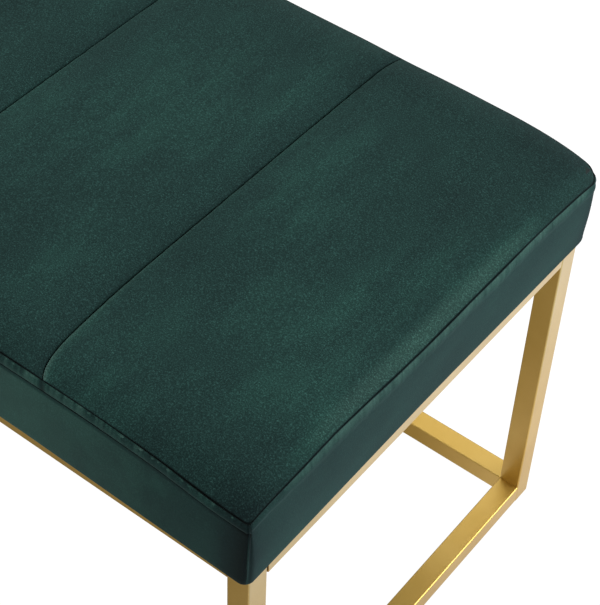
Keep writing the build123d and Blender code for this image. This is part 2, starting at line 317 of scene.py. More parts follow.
def velvet_material():
    """Cotton velvet, woven and brushed: soft strokes, a fine sparkle of pile tips and a pale sheen."""
    material, tree = new_material("brushed_velvet")
    place = add_node(tree, "ShaderNodeTexCoord").outputs["Object"]
    # the pieces' attribute holds painted shade in seams, creases and corners and painted highlights on seam
    # lips and bands, with some brushing of the pile
    pile = add_node(tree, "ShaderNodeAttribute", attribute_name="pile").outputs["Fac"]
    tones = brushed_tones(tree, place, pile)
    grain = add_node(
        tree, "ShaderNodeTexNoise",
        {"Vector": place, "Scale": per_metre(VELVET_GRAIN), "Detail": 1.5, "Roughness": 0.8},
    )
    tip = add_node(tree, "ShaderNodeMapRange", {"Value": grain, "From Min": 0.25, "From Max": 0.75})
    bright_tip = add_node(tree, "ShaderNodeMath", {0: tip, 1: 2.6}, operation="POWER")
    # the flecks show most where the cloth lies level, and on the painted highlights
    facing = add_node(
        tree, "ShaderNodeSeparateXYZ", {0: add_node(tree, "ShaderNodeNewGeometry").outputs["Normal"]}
    )
    level = add_node(
        tree, "ShaderNodeMapRange", {"Value": facing.outputs["Z"], "From Max": 0.8, "To Min": 0.3}
    )
    raised_painted_highlight = add_node(
        tree, "ShaderNodeMapRange", {"Value": pile, "From Min": 0.4, "From Max": 1.6, "To Max": 0.8}
    )
    loose = add_node(tree, "ShaderNodeMath", {0: level, 1: raised_painted_highlight}, operation="MAXIMUM")
    # it sparkles most there, and in the sewn creases the colour is darkened towards black as painted shade
    fleck = add_node(tree, "ShaderNodeMath", {0: bright_tip, 1: 1.5, 2: -0.4}, operation="MULTIPLY_ADD")
    sparkle = add_node(tree, "ShaderNodeMath", {0: fleck, 1: loose, 2: 1.0}, operation="MULTIPLY_ADD")
    # painted shade: the colour is darkened towards black where the pile attribute marks a sewn crease
    crease = add_node(
        tree, "ShaderNodeMapRange",
        {"Value": pile, "From Min": -4.0, "From Max": -1.2, "To Min": 0.15, "To Max": 1.0},
    )
    shine = add_node(tree, "ShaderNodeMath", {0: sparkle, 1: crease}, operation="MULTIPLY")
    # the tips are greyer than the ground, and the painted highlights are mixed towards the pale tip colour
    greyed_painted_highlight = add_node(
        tree, "ShaderNodeMapRange", {"Value": pile, "From Min": 0.1, "From Max": 1.7, "To Max": 0.8}
    )
    nap = add_node(tree, "ShaderNodeMath", {0: bright_tip, 1: loose}, operation="MULTIPLY")
    tip_share = add_node(tree, "ShaderNodeMath", {0: nap, 1: 0.1, 2: greyed_painted_highlight}, operation="MULTIPLY_ADD")
    tip_colour = linear(bpy.context.scene.bench_seat.velvet_tip_and_highlight)
    tipped = add_node(
        tree, "ShaderNodeMix",
        {MIX_SHARE: tip_share, MIX_FIRST: tones, MIX_SECOND: tip_colour}, data_type="RGBA",
    )
    flecked = add_node(
        tree, "ShaderNodeVectorMath", {0: tipped.outputs[MIX_RESULT], "Scale": shine}, operation="SCALE"
    )
    fuzz = add_node(tree, "ShaderNodeBump", {"Strength": 0.3, "Distance": 0.4 * MM, "Height": grain})
    shader = add_node(
        tree, "ShaderNodeBsdfPrincipled",
        {
            "Base Color": flecked, "Roughness": 0.9, "Specular IOR Level": 0.1,
            "Sheen Weight": 0.12, "Sheen Roughness": 0.45, "Sheen Tint": linear("8fb3ab"),
            "Normal": fuzz,
        },
    )
    add_node(tree, "ShaderNodeOutputMaterial", {"Surface": shader})
    return material


def thread_material():
    """Polyester sewing thread, twisted and dyed to the velvet: a dark, dull line of dashes."""
    material, tree = new_material("dyed_thread")
    place = add_node(tree, "ShaderNodeTexCoord").outputs["Object"]
    # drawn coarser than the real twist, which is too fine to show
    twist_size = 1.2 * MM
    twist = add_node(
        tree, "ShaderNodeTexNoise", {"Vector": place, "Scale": per_metre(twist_size), "Detail": 1.0}
    )
    tones = add_node(tree, "ShaderNodeValToRGB", {"Fac": twist})
    tones.color_ramp.elements[0].color = linear("060d0c")
    tones.color_ramp.elements[1].color = linear("101d1b")
    shader = add_node(
        tree, "ShaderNodeBsdfPrincipled",
        {"Base Color": tones, "Roughness": 0.85, "Specular IOR Level": 0.1},
    )
    add_node(tree, "ShaderNodeOutputMaterial", {"Surface": shader})
    return material


def gold_material():
    """Steel tube, plated gold under a clear satin lacquer: deep gold with a pale haze at low angles."""
    colours = bpy.context.scene.bench_frame
    cloud_size, peel_size = 60 * MM, 1.4 * MM
    material, tree = new_material("satin_gold_lacquer")
    place = add_node(tree, "ShaderNodeTexCoord").outputs["Object"]
    cloud = add_node(
        tree, "ShaderNodeTexNoise", {"Vector": place, "Scale": per_metre(cloud_size), "Detail": 3.0}
    )
    peel = add_node(
        tree, "ShaderNodeTexNoise", {"Vector": place, "Scale": per_metre(peel_size), "Detail": 2.0}
    )
    tones = add_node(tree, "ShaderNodeValToRGB", {"Fac": cloud})
    ramp = tones.color_ramp.elements
    ramp[0].position = 0.3
    ramp[0].color = linear(colours.gold_shade)
    ramp[1].position = 0.7
    ramp[1].color = linear(colours.gold)
    satin = add_node(tree, "ShaderNodeMapRange", {"Value": peel, "To Min": 0.38, "To Max": 0.48})
    bump = add_node(tree, "ShaderNodeBump", {"Strength": 0.12, "Distance": 0.05 * MM, "Height": peel})
    shader = add_node(
        tree, "ShaderNodeBsdfPrincipled",
        {
            "Base Color": tones, "Metallic": 0.9, "Roughness": satin,
            "Coat Weight": 0.7, "Coat Roughness": 0.28, "Coat IOR": 1.5, "Normal": bump,
        },
    )
    add_node(tree, "ShaderNodeOutputMaterial", {"Surface": shader})
    return material


def speckled_material(name, dark, light, size, roughness, metallic=0.0):
    """A plain finish of the hidden pieces: a fine two-tone mottle of the given size."""
    material, tree = new_material(name)
    place = add_node(tree, "ShaderNodeTexCoord").outputs["Object"]
    mottle = add_node(
        tree, "ShaderNodeTexNoise", {"Vector": place, "Scale": per_metre(size), "Detail": 3.0}
    )
    tones = add_node(tree, "ShaderNodeValToRGB", {"Fac": mottle})
    ramp = tones.color_ramp.elements
    ramp[0].position = 0.3
    ramp[0].color = linear(dark)
    ramp[1].position = 0.7
    ramp[1].color = linear(light)
    bump = add_node(tree, "ShaderNodeBump", {"Strength": 0.2, "Distance": 0.1 * MM, "Height": mottle})
    shader = add_node(
        tree, "ShaderNodeBsdfPrincipled",
        {"Base Color": tones, "Roughness": roughness, "Metallic": metallic, "Normal": bump},
    )
    add_node(tree, "ShaderNodeOutputMaterial", {"Surface": shader})
    return material


def dress(obj, material):
    """Give an object one material all over."""
    obj.data.materials.clear()
    obj.data.materials.append(material)


def shared(maker):
    """The material that a maker function gives, made once."""
    made = bpy.context.scene.get("bench_" + maker.__name__)
    if made and made in bpy.data.materials:
        return bpy.data.materials[made]
    material = maker()
    bpy.context.scene["bench_" + maker.__name__] = material.name
    return material


def place_piece(obj, material, slot, *nodes):
    """Give a finished piece its material and body, and hide the nodes that it stands for. The slot argument
    is not used.
    """
    dress(obj, material)
    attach(obj, "root")
    if nodes:
        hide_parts(*nodes)


def graded(length, fine, coarse, growth=1.35):
    """Places from 0 to a length, close together at both ends and coarse in between."""
    marks, step = [0.0], fine
    while marks[-1] < length / 2:
        marks.append(marks[-1] + step)
        step = min(step * growth, coarse)
    half = np.array(marks) * (length / 2) / marks[-1]
    return np.concatenate([half, length - half[-2::-1]])


def wander(places, size, seed):
    """Smooth noise between -1 and 1 at each place, for features of the given size in metres."""
    shift = Vector((seed * 7.31, seed * 3.17, seed * 5.73))
    return np.array([noise.noise(Vector(place) / size + shift) for place in places])


def bell(distance, width):
    """1 at no distance, falling smoothly to nothing over about twice the width."""
    return np.exp(-(distance / width) ** 2)


def fade(distance, width):
    """1 at no distance, falling at once and then ever more slowly, to about a third after the width."""
    return np.exp(-distance / width)


def rolled(distance, width, lip_width, lip_share):
    """Share of the full height at a distance from a sewn edge: a tight lip first, then a soft slope."""
    slope = 1 - (1 - np.clip(distance / width, 0, 1)) ** 2.2
    lip = np.sqrt(1 - (1 - np.clip(distance / lip_width, 0, 1)) ** 2)
    return (1 - lip_share) * slope + lip_share * lip


def grid_sheet(name, columns, rows, surface, pile):
    """A grid with a place and a pile for each vertex, from arrays of column and row numbers.

    The pile says how far the velvet is made lighter (above 0) or darker (below 0), by brushing and as
    painted
    highlights and painted shade: 1 is a plain stroke of the hand, and -4 is the painted black shade of a
    sewn crease.
    """
    bpy.ops.object.select_all(action="DESELECT")
    bpy.ops.mesh.primitive_grid_add(x_subdivisions=columns, y_subdivisions=rows, size=1.0)
    obj = bpy.context.active_object
    obj.name = obj.data.name = name
    flat = np.zeros(len(obj.data.vertices) * 3)
    obj.data.vertices.foreach_get("co", flat)
    flat = flat.reshape(-1, 3)
    column = np.rint((flat[:, 0] + 0.5) * columns).astype(int)
    row = np.rint((flat[:, 1] + 0.5) * rows).astype(int)
    obj.data.vertices.foreach_set("co", surface(column, row).astype(np.float32).ravel())
    brushed = obj.data.attributes.new("pile", "FLOAT", "POINT")
    brushed.data.foreach_set("value", pile(column, row).astype(np.float32))
    obj.data.update()
    return obj


def border_drop(x, y):
    """How far the border seam lies below its level: the corners are pulled down, the ends sag."""
    seat = bpy.context.scene.bench_seat
    front_reach, front_depth = 77 * MM, 26 * MM  # of the dip of a front corner, along X and Y
    rear_reach, rear_depth = 28 * MM, 42 * MM
    sag_reach = 110 * MM
    slack, slack_reach, slack_depth = 1.2 * MM, 160 * MM, 40 * MM  # along the front between the corners
    from_end = np.clip(HALF_LENGTH - np.abs(x), 0, 1)
    from_front = np.clip(y + HALF_DEPTH, 0, 1)
    from_rear = np.clip(HALF_DEPTH - y, 0, 1)
    front_dip = seat.front_dip / (1 + (from_end / front_reach) ** 3) * fade(from_front, front_depth)
    rear_dip = seat.rear_dip * fade(from_end, rear_reach) * fade(from_rear, rear_depth)
    end_sag = np.interp(y, *END_SAG) * np.clip(1 - from_end / sag_reach, 0, 1) ** 2
    front_sag = slack * fade(from_front, slack_depth) * np.clip(from_end / slack_reach, 0, 1)
    return front_dip + rear_dip + end_sag + front_sag


def border_draw(x, y):
    """How far the border is drawn inwards along X at a place: the front corners are pinched."""
    pinch, reach = 3.4 * MM, 25 * MM
    from_end = np.clip(HALF_LENGTH - np.abs(x), 0, 1)
    from_front = np.clip(y + HALF_DEPTH, 0, 1)
    return np.sign(x) * pinch * fade(from_end, reach) * fade(from_front, reach)


def seam_drift(y):
    """How far a cross seam is drawn towards the nearer end of the seat as it meets the border."""
    margin = 4 * MM  # from the seat outline to where the drift is full
    from_front = np.clip(y + HALF_DEPTH - margin, 0, 1)
    from_rear = np.clip(HALF_DEPTH - margin - y, 0, 1)
    front = fade(from_front, 36 * MM) + 0.4 * fade(from_front, 6 * MM)
    return bpy.context.scene.bench_seat.seam_drift * (front + 0.3 * fade(from_rear, 20 * MM))


def panel_forms(left, right, seed, swell=None):
    """Grid counts, surface and pile of the panel between two seams, coarse where it isn't swollen yet."""
    seat = bpy.context.scene.bench_seat
    is_left_end = left < -HALF_LENGTH + PANEL_INSET
    is_right_end = right > HALF_LENGTH - PANEL_INSET
    low_x = left + (PANEL_INSET if is_left_end else HALF_CREASE)
    high_x = right - (PANEL_INSET if is_right_end else HALF_CREASE)
    low_y = -HALF_DEPTH + PANEL_INSET
    if swell is None:
        xs = np.linspace(low_x, high_x, SWELL_GRID[0] + 1)
        ys = np.linspace(low_y, -low_y, SWELL_GRID[1] + 1)
    else:
        xs = low_x + graded(high_x - low_x, 0.3 * MM, 3 * MM)
        ys = low_y + graded(-2 * low_y, 0.3 * MM, 2.5 * MM)

    def from_edges(column, row):
        """Places in plan, and distances from the left and right seams, the seat's end and its long sides"""
        x, y = xs[column], ys[row]
        far = np.full_like(x, 1.0)
        left_edge, right_edge = x - low_x, high_x - x
        from_left = far if is_left_end else left_edge
        from_right = far if is_right_end else right_edge
        from_end = np.minimum(left_edge if is_left_end else far, right_edge if is_right_end else far)
        return x, y, from_left, from_right, from_end, np.minimum(y - low_y, -low_y - y)

    def pile(column, row):
        """Painted highlight along the left seam and on the roll at an end, painted shade at the right seam,
        rear, corners and sewn edges
        """
        x, y, from_left, from_right, from_end, from_y = from_edges(column, row)
        near_front = fade(y - low_y, 65 * MM)
        painted_seam_lip_highlight = fade(from_left, 2.5 * MM) * (0.5 + 2.3 * near_front)
        painted_roll_light = 0.6 * bell(from_end - 6 * MM, 9 * MM) * (1 - near_front)
        painted_seam_shade = fade(from_right, 16 * MM) * (0.5 + 0.7 * near_front)
        painted_rear_shade = 0.5 * fade(-low_y - y, 60 * MM)
        to_corner_x = HALF_LENGTH - np.abs(x)
        to_front_corner = np.hypot(to_corner_x, HALF_DEPTH + y)
        to_rear_corner = np.hypot(to_corner_x, HALF_DEPTH - y)
        # painted shade, darker towards the corners of the seat
        corners = 0.8 * bell(to_front_corner, 70 * MM) + 0.7 * bell(to_front_corner, 26 * MM)
        corners = corners + 0.7 * bell(to_rear_corner, 110 * MM)
        # painted black shade along the sewn edges of the panel
        sewn = np.maximum(5 * bell(from_y, 0.25 * MM), 3.6 * bell(from_end, 0.3 * MM))
        return painted_seam_lip_highlight + painted_roll_light - (painted_seam_shade + painted_rear_shade) - corners - sewn

    def padding(x, y, from_seam, from_end, from_y):
        """Height above the border seam: a crown that rolls to the border and sinks to the cross seams"""
        lip, seam_lip = 1.5 * MM, 5 * MM
        border = rolled(from_y, seat.roll, lip, 0.08) * rolled(from_end, seat.roll, lip, 0.08)
        sunk = 1 - rolled(from_seam, seat.shoulder, seam_lip, 0.4)
        none = np.zeros_like(x)
        places = np.column_stack([x, y, none])
        along_seam = np.column_stack([none, y, none])
        along_border = np.column_stack([x, none, none])
        soft = wander(places, 90 * MM, seed) * 0.9 * MM + wander(places, 35 * MM, seed + 3) * 0.25 * MM
        pucker = (
            wander(along_seam, 9 * MM, seed + 5) * fade(from_seam, 9 * MM) * 0.45 * MM
            + wander(along_border, 8 * MM, seed + 7) * fade(from_y, 10 * MM) * 0.5 * MM
            + wander(along_seam, 8 * MM, seed + 9) * fade(from_end, 10 * MM) * 0.5 * MM
        )
        return border * (seat.crown - seat.valley * sunk + soft) + border * pucker

    def rounded(x, y):
        """Places in plan with the outer corners drawn in to the round corners of the seat"""
        for is_end, side, edge_x in ((is_left_end, -1, low_x), (is_right_end, 1, high_x)):
            if not is_end:
                continue
            for front, radius in ((-1, seat.front_radius), (1, seat.rear_radius)):
                u = (side * (x - edge_x) + radius) / radius
                v = (front * y + low_y + radius) / radius
                inside = (u > 0) & (v > 0)
                u, v = np.clip(u, 0, 1), np.clip(v, 0, 1)
                x = np.where(inside, edge_x + side * radius * (u * np.sqrt(1 - v * v / 2) - 1), x)
                y = np.where(inside, front * (radius * (v * np.sqrt(1 - u * u / 2) - 1) - low_y), y)
        return x, y

    def surface(column, row):
        x, y, from_left, from_right, from_end, from_y = from_edges(column, row)
        height = padding(x, y, np.minimum(from_left, from_right), from_end, from_y)
        if swell is not None:
            height = height + lifted(swell, (x - low_x) / (high_x - low_x), 0.5 + y / (-2 * low_y))
        x, y = rounded(x, y)
        # the cross seams are drawn sideways, and the cloth beside them follows
        drift_reach = 60 * MM
        left_share = np.clip(1 - from_left / drift_reach, 0, 1)
        right_share = np.clip(1 - from_right / drift_reach, 0, 1)
        x = x + seam_drift(y) * (np.sign(low_x) * left_share + np.sign(high_x) * right_share)
        z = SEAM_HEIGHT - border_drop(x, y) + height
        return np.column_stack([x - border_draw(x, y), y, z])

    return len(xs) - 1, len(ys) - 1, surface, pile


def lifted(swell, across, along):
    """Lift of the simulated sheet at shares of the panel's width and depth, between its grid points."""
    column, row = across * SWELL_GRID[0], along * SWELL_GRID[1]
    left = np.clip(column.astype(int), 0, SWELL_GRID[0] - 1)
    front = np.clip(row.astype(int), 0, SWELL_GRID[1] - 1)
    u, v = column - left, row - front
    near = swell[front, left] * (1 - u) + swell[front, left + 1] * u
    far = swell[front + 1, left] * (1 - u) + swell[front + 1, left + 1] * u
    return near * (1 - v) + far * v


def simulate_swell(left, right, seed):
    """Lift of each point of a panel that its filling presses out, from cloth pinned at the seams."""
    scene = bpy.context.scene
    columns, rows, surface, pile = panel_forms(left, right, seed)
    sheet = grid_sheet("swelling_sheet", columns, rows, surface, pile)
    shape = (rows + 1, columns + 1)
    start = np.zeros(shape[0] * shape[1] * 3)
    sheet.data.vertices.foreach_get("co", start)
    row, column = np.divmod(np.arange(shape[0] * shape[1]), shape[1])
    rim = (row == 0) | (row == rows) | (column == 0) | (column == columns)
    sheet.vertex_groups.new(name="sewn").add(np.flatnonzero(rim).tolist(), 1.0, "REPLACE")
    bpy.ops.object.modifier_add(type="CLOTH")
    cloth = sheet.modifiers[-1]
    cloth.settings.vertex_group_mass = "sewn"
    cloth.settings.use_pressure = True
    cloth.settings.uniform_pressure_force = 1
    cloth.settings.tension_stiffness = 40
    cloth.settings.compression_stiffness = 40
    cloth.settings.bending_stiffness = 5
    cloth.settings.effector_weights.gravity = 0
    cloth.collision_settings.use_collision = False
    for number in range(1, SWELL_FRAMES + 1):
        scene.frame_set(number)
    bpy.ops.object.modifier_apply(modifier=cloth.name)
    scene.frame_set(1)
    end = np.zeros_like(start)
    sheet.data.vertices.foreach_get("co", end)
    bpy.data.objects.remove(sheet)
    lift = (end - start).reshape(*shape, 3)[:, :, 2]
    return SWELL_CAP * np.tanh(lift / SWELL_CAP)


def close_underneath(depth):
    """Turn the active sheet's rim down and a little inwards, and close it with a flat face."""
    bpy.ops.object.mode_set(mode="EDIT")
    bpy.ops.mesh.select_mode(type="EDGE")
    bpy.ops.mesh.select_all(action="DESELECT")
    bpy.ops.mesh.select_non_manifold()
    bpy.ops.mesh.extrude_region_move(TRANSFORM_OT_translate={"value": (0, 0, -depth)})
    bpy.ops.transform.resize(value=(0.98, 0.99, 1))
    bpy.ops.mesh.edge_face_add()
    bpy.ops.object.mode_set(mode="OBJECT")
    bpy.ops.object.shade_smooth_by_angle(angle=math.radians(60))


class BENCH_OT_top_panels(bpy.types.Operator):
    """Build the padded panels of the seat top, sewn to each other across the seat"""

    bl_idname = "bench.top_panels"
    bl_label = "Top panels"

    def execute(self, context):
        velvet = shared(velvet_material)
        rim_depth = 3.5 * MM
        edges = [-HALF_LENGTH] + [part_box(node)[0].x for node in TOP_PANELS[1:]] + [HALF_LENGTH]
        for number, node in enumerate(TOP_PANELS):
            seams = edges[number], edges[number + 1]
            swell = simulate_swell(*seams, seed=number + 1)
            panel = grid_sheet("padded_" + node, *panel_forms(*seams, number + 1, swell))
            close_underneath(rim_depth)
            place_piece(panel, velvet, "velvet", node)
        return {"FINISHED"}


def quarter_turn(number):
    """Turn from the front of the seat to the side with that number."""
    return Matrix.Rotation(number * math.pi / 2, 3, "Z")


def side_sizes(side):
    """Half the length of one side of the seat, and its distance from the middle of the seat."""
    return (HALF_LENGTH, HALF_DEPTH) if side in LONG_SIDES else (HALF_DEPTH, HALF_LENGTH)


def boxing_profile(side):
    """Outward offset, height and share of lean at each level, from the margin to the border seam."""
    seat = bpy.context.scene.bench_seat
    is_end = side not in LONG_SIDES
    stitch = SIDE_HEIGHT - seat.stitch_drop
    wrap = 5 * MM  # radius of the turn under the seat
    flat = 4 * MM  # of the margin beside that turn, which leans with the side
    belly = 0.8 * MM  # how far the middle of the side stands out
    below_stitch = 0.9 * MM  # from the side's last plain row to the topstitched line
    half_notch = 0.4 * MM  # half the height of the notch that the topstitching pulls in
    notch = 0 if is_end else 0.4 * MM  # its depth, on the long sides alone
    bulge = seat.band_bulge * (0.8 if is_end else 1)
    levels = [(-TURN_UNDER, 0.0, 0.0), (-wrap - flat, 0.0, 1.0)]
    for angle in np.linspace(0, math.pi / 2, 7):
        levels.append((-wrap + wrap * math.sin(angle), wrap - wrap * math.cos(angle), 1.0))
    for share in np.linspace(0, 1, 16)[1:]:
        out = belly * math.sin(math.pi * share) - share * STITCH_INSET
        levels.append((out, wrap + share * (stitch - below_stitch - wrap), 1 - share))
    levels.append((-STITCH_INSET - 0.4 * notch, stitch - half_notch, 0.0))
    levels.append((-STITCH_INSET - notch, stitch, 0.0))
    levels.append((-STITCH_INSET - 0.4 * notch, stitch + half_notch, 0.0))
    # the band, with its first rows left out because the notch has them
    for share in (1 - np.cos(np.linspace(0, math.pi, 14)[3:])) / 2:
        base = STITCH_INSET + (SEAM_INSET - STITCH_INSET) * share
        power = 2 if is_end and share < 0.5 else 1  # the band of an end starts softly
        out = bulge * math.sin(math.pi * share) ** power - base
        levels.append((out, stitch + seat.stitch_drop * share, 0.0))
    # the margin that is folded in behind the border seam
    levels.append((-SEAM_INSET - 1.8 * MM, SIDE_HEIGHT - 1.5 * MM, 0.0))
    levels.append((-SEAM_INSET - 5 * MM, SIDE_HEIGHT - 4 * MM, 0.0))
    return np.array(levels).T


def from_front_corner(side, along):
    """Distance of places along a side from its front corner: none on the front, far away on the rear."""
    half_run = side_sizes(side)[0]
    distances = {
        "front": 0 * along,
        "right": half_run + along,
        "rear": 1 + 0 * along,
        "left": half_run - along,
    }
    return distances[side]


def band_drop(side, along):
    """Foot of the band below the border seam along a side: narrow in front, wider past the front corners."""
    seat = bpy.context.scene.bench_seat
    widening = 80 * MM  # from a front corner to where the band has its full width
    widened = np.clip(from_front_corner(side, along) / widening, 0, 1)
    return seat.stitch_drop + (seat.end_drop - seat.stitch_drop) * widened


def side_stations(half_run):
    """Share along the straight stretch and turn into the corner of each station along one side."""
    corner_steps, pitch = 6, 2 * MM
    turns = np.linspace(0, math.pi / 4, corner_steps + 1)
    count = int(2 * half_run / pitch)
    straight = np.linspace(-1, 1, count)
    share = np.concatenate([np.full(corner_steps, -1.0), straight, np.full(corner_steps, 1.0)])
    turn = np.concatenate([-turns[:0:-1], np.zeros(count), turns[1:]])
    return share, turn


def boxing_place(side, share, turn, out, low):
    """Places in plan on one side before it is turned to face its way: X along the side, -Y outwards.

    low is 1 where the side turns under the seat and 0 at the border seam.
    """
    seat = bpy.context.scene.bench_seat
    half_run, reach = side_sizes(side)
    position = BOXING_SIDES.index(side)
    at_front = {"front": share < 2, "right": share < 0, "rear": share > 2, "left": share > 0}[side]
    radius = np.where(at_front, seat.front_radius, seat.rear_radius)
    foot_radius = np.where(at_front, seat.front_foot_radius, seat.rear_foot_radius)
    radius = radius + (foot_radius - radius) * np.clip(low, 0, 1)
    end = np.sign(share)
    # both sides of a corner turn about the same upright line, so that they meet
    next_lean = SIDE_LEAN[BOXING_SIDES[position - 1]][0] * low
    corner_lean, middle_lean = SIDE_LEAN[side]
    lean_reach = 220 * MM  # from a corner to where the lean is that of the middle
    from_corner = np.clip((1 - np.abs(share)) * half_run / lean_reach, 0, 1)
    lean = low * (corner_lean + (middle_lean - corner_lean) * from_corner)
    x = share * (half_run - next_lean - radius) + end * (radius + out) * np.sin(np.abs(turn))
    y = -reach + lean + radius - (radius + out) * np.cos(turn)
    # the turned-under margin is mitred at the corners
    deep = -out > radius * 0.9
    mitred = share * (half_run - radius) + end * radius * np.abs(turn) / (math.pi / 4)
    mitred = mitred * (half_run + out) / half_run
    return np.where(deep, mitred, x), np.where(deep, -reach - out, y)


def boxing_world(number, x, y, height):
    """Places of one side in the world from its plan and its heights, with the border dips and pinches."""
    world = np.column_stack([x, y, np.zeros_like(x)]) @ np.array(quarter_turn(number)).T
    rise = np.clip(height / SIDE_HEIGHT, 0, 1) ** 2
    world[:, 2] = SEAT_BOTTOM + height - rise * border_drop(world[:, 0], world[:, 1])
    world[:, 0] -= rise * border_draw(world[:, 0], world[:, 1])
    return world


class BENCH_OT_boxing(bpy.types.Operator):
    """Build the boxing strips round the sides of the seat, with their puckered, topstitched band"""

    bl_idname = "bench.boxing"
    bl_label = "Boxing"

    def execute(self, context):
        velvet = shared(velvet_material)
        for number, side in enumerate(BOXING_SIDES):
            strip = self.strip(number, side)
            place_piece(strip, velvet, "velvet", "boxing_" + side)
        return {"FINISHED"}

    def seam_ends(self, side):
        """Places along a long side where the cross seams of the seat top meet the border"""
        if side not in LONG_SIDES:
            return []
        way = 1 if side == "front" else -1
        seams = np.array([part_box(node)[0].x for node in TOP_PANELS[1:]])
        return way * (seams + np.sign(seams) * seam_drift(-way * HALF_DEPTH))

    def strip(self, number, side):
        seat = bpy.context.scene.bench_seat
        outs, heights, leans = boxing_profile(side)
        half_run = side_sizes(side)[0]
        shares, turns = side_stations(half_run)
        stitch = SIDE_HEIGHT - seat.stitch_drop
        seam_ends = self.seam_ends(side)
        corner_start = 5 * MM  # from the end of the side to where its corner begins
        corner_arc = 6 * MM  # run along a corner for each radian of its turn
        corner_seam = half_run - 0.3 * MM

        def from_features(column, row):
            """Places along the side, share of the band's height, distance from a corner, and cross seams"""
            along = shares[column] * (half_run - corner_start) + turns[column] * corner_arc
            in_band = np.clip((heights[row] - stitch) / seat.stitch_drop, 0, 1)
            from_corner = corner_seam - np.abs(along)
            at_seam = sum((bell(along - end, 2.5 * MM) for end in seam_ends), np.zeros_like(along))
            return along, in_band, from_corner, at_seam

        def line_of(along, height):
            """Places for noise that runs along this side alone"""
            return np.column_stack([along, np.full_like(along, number), height])

        def end_painted_light_and_shade(along, in_band, from_corner, height, painted_pucker_light):
            """An end: a little darker all over, a painted light on the band that fades towards the front,
            and painted shade beside the corner seams and along the border seam
            """
            band = (1.2 + painted_pucker_light) * in_band ** 1.4
            band = band * np.clip(from_front_corner(side, along) / (90 * MM), 0.3, 1)
            # painted black shade along the border seam
            sewn = 3.6 * (height > SIDE_HEIGHT - 0.3 * MM)
            return band - 0.15 - 1.6 * fade(from_corner, 9 * MM) - sewn

        def long_painted_light_and_shade(line, in_band, from_corner, at_seam, height, painted_pucker_light, is_margin):
            """A long side: a band with painted pucker highlights between two painted dark lines, and painted
            shade towards the corners
            """
            # painted black shade along the border seam and on the folded margin
            sewn = 5.0 * ((height > SIDE_HEIGHT - 0.1 * MM) | is_margin)
            # painted shade in the groove of the topstitched line
            painted_stitch_shade = 4 * bell(height - stitch, 0.75 * MM)
            # painted shade, darker towards the corners
            corner = 3 * bell(from_corner, 18 * MM) + 1.3 * fade(from_corner, 120 * MM)
            # lighter dots in the pile just under the border seam
            dots = 8 * np.clip(wander(line, 3.5 * MM, 37) - 0.2, 0, 1) * ~is_margin
            dots = dots * bell(SIDE_HEIGHT - 1.2 * MM - height, 0.6 * MM)
            # painted shade where the cross seams end in the band
            band = 0.4 + 1.3 * painted_pucker_light * in_band + dots - 2 * at_seam - 0.6 * corner
            return np.where(in_band > 0, band, 0.7 - corner) - painted_stitch_shade - sewn

        def pile(column, row):
            """Painted shade in the seams and corners, painted pucker light in the band, and a painted
            highlight on the ridges of the corner seams
            """
            along, in_band, from_corner, at_seam = from_features(column, row)
            height = heights[row]
            line = line_of(along, np.zeros_like(along))
            painted_pucker_light = 0.8 * wander(line, 2.3 * MM, 31) + 0.5 * wander(line, 6 * MM, 33)
            painted_ridge_highlight = 1.6 * bell(from_corner, 0.9 * MM) * np.clip((stitch - height) / (30 * MM), 0, 1)
            if side not in LONG_SIDES:
                return painted_ridge_highlight + end_painted_light_and_shade(along, in_band, from_corner, height, painted_pucker_light)
            is_margin = (outs[row] < -SEAM_INSET - 1 * MM) & (height > stitch)
            return painted_ridge_highlight + long_painted_light_and_shade(line, in_band, from_corner, at_seam, height, painted_pucker_light, is_margin)

        def surface(column, row):
            share, turn = shares[column], turns[column]
            out, low = outs[row], leans[row]
            along, in_band, _, at_seam = from_features(column, row)
            drop = band_drop(side, along)
            below = heights[row] * (SIDE_HEIGHT - drop) / stitch
            height = np.where(heights[row] < stitch, below, SIDE_HEIGHT - drop * (1 - in_band))
            shown = out > -FOLDED_IN
            band = np.sin(math.pi * in_band) * shown
            on_side = (height > 4 * MM) & shown
            line = line_of(along, np.zeros_like(along))
            pucker = wander(line, 4.5 * MM, 21) * 0.3 * MM + wander(line, 14 * MM, 23) * 0.3 * MM
            waves = wander(line_of(along, height), 60 * MM, 27) * 0.7 * MM
            out = out + band * (pucker - 1.2 * MM * at_seam) + on_side * waves
            # the sewn corner: drawn in beside the seam, with the fabric standing up along it
            from_seam = (math.pi / 4 - np.abs(turn)) * 12 * MM
            drawn = 1.2 * MM * bell(from_seam, 4 * MM) - 1.3 * MM * bell(from_seam, 1.2 * MM)
            above_foot = np.clip((height - 5 * MM) / (12 * MM), 0, 1)
            out = out - on_side * (np.abs(turn) > 0) * drawn * above_foot
            x, y = boxing_place(side, share, turn, out, low)
            return boxing_world(number, x, y, height)

        strip = grid_sheet("sewn_boxing_" + side, len(shares) - 1, len(outs) - 1, surface, pile)
        bpy.ops.object.modifier_add(type="SOLIDIFY")
        strip.modifiers[-1].thickness = 1.2 * MM
        strip.modifiers[-1].offset = -1
        bpy.ops.object.modifier_apply(modifier=strip.modifiers[-1].name)
        bpy.ops.object.shade_smooth_by_angle(angle=math.radians(60))
        return strip


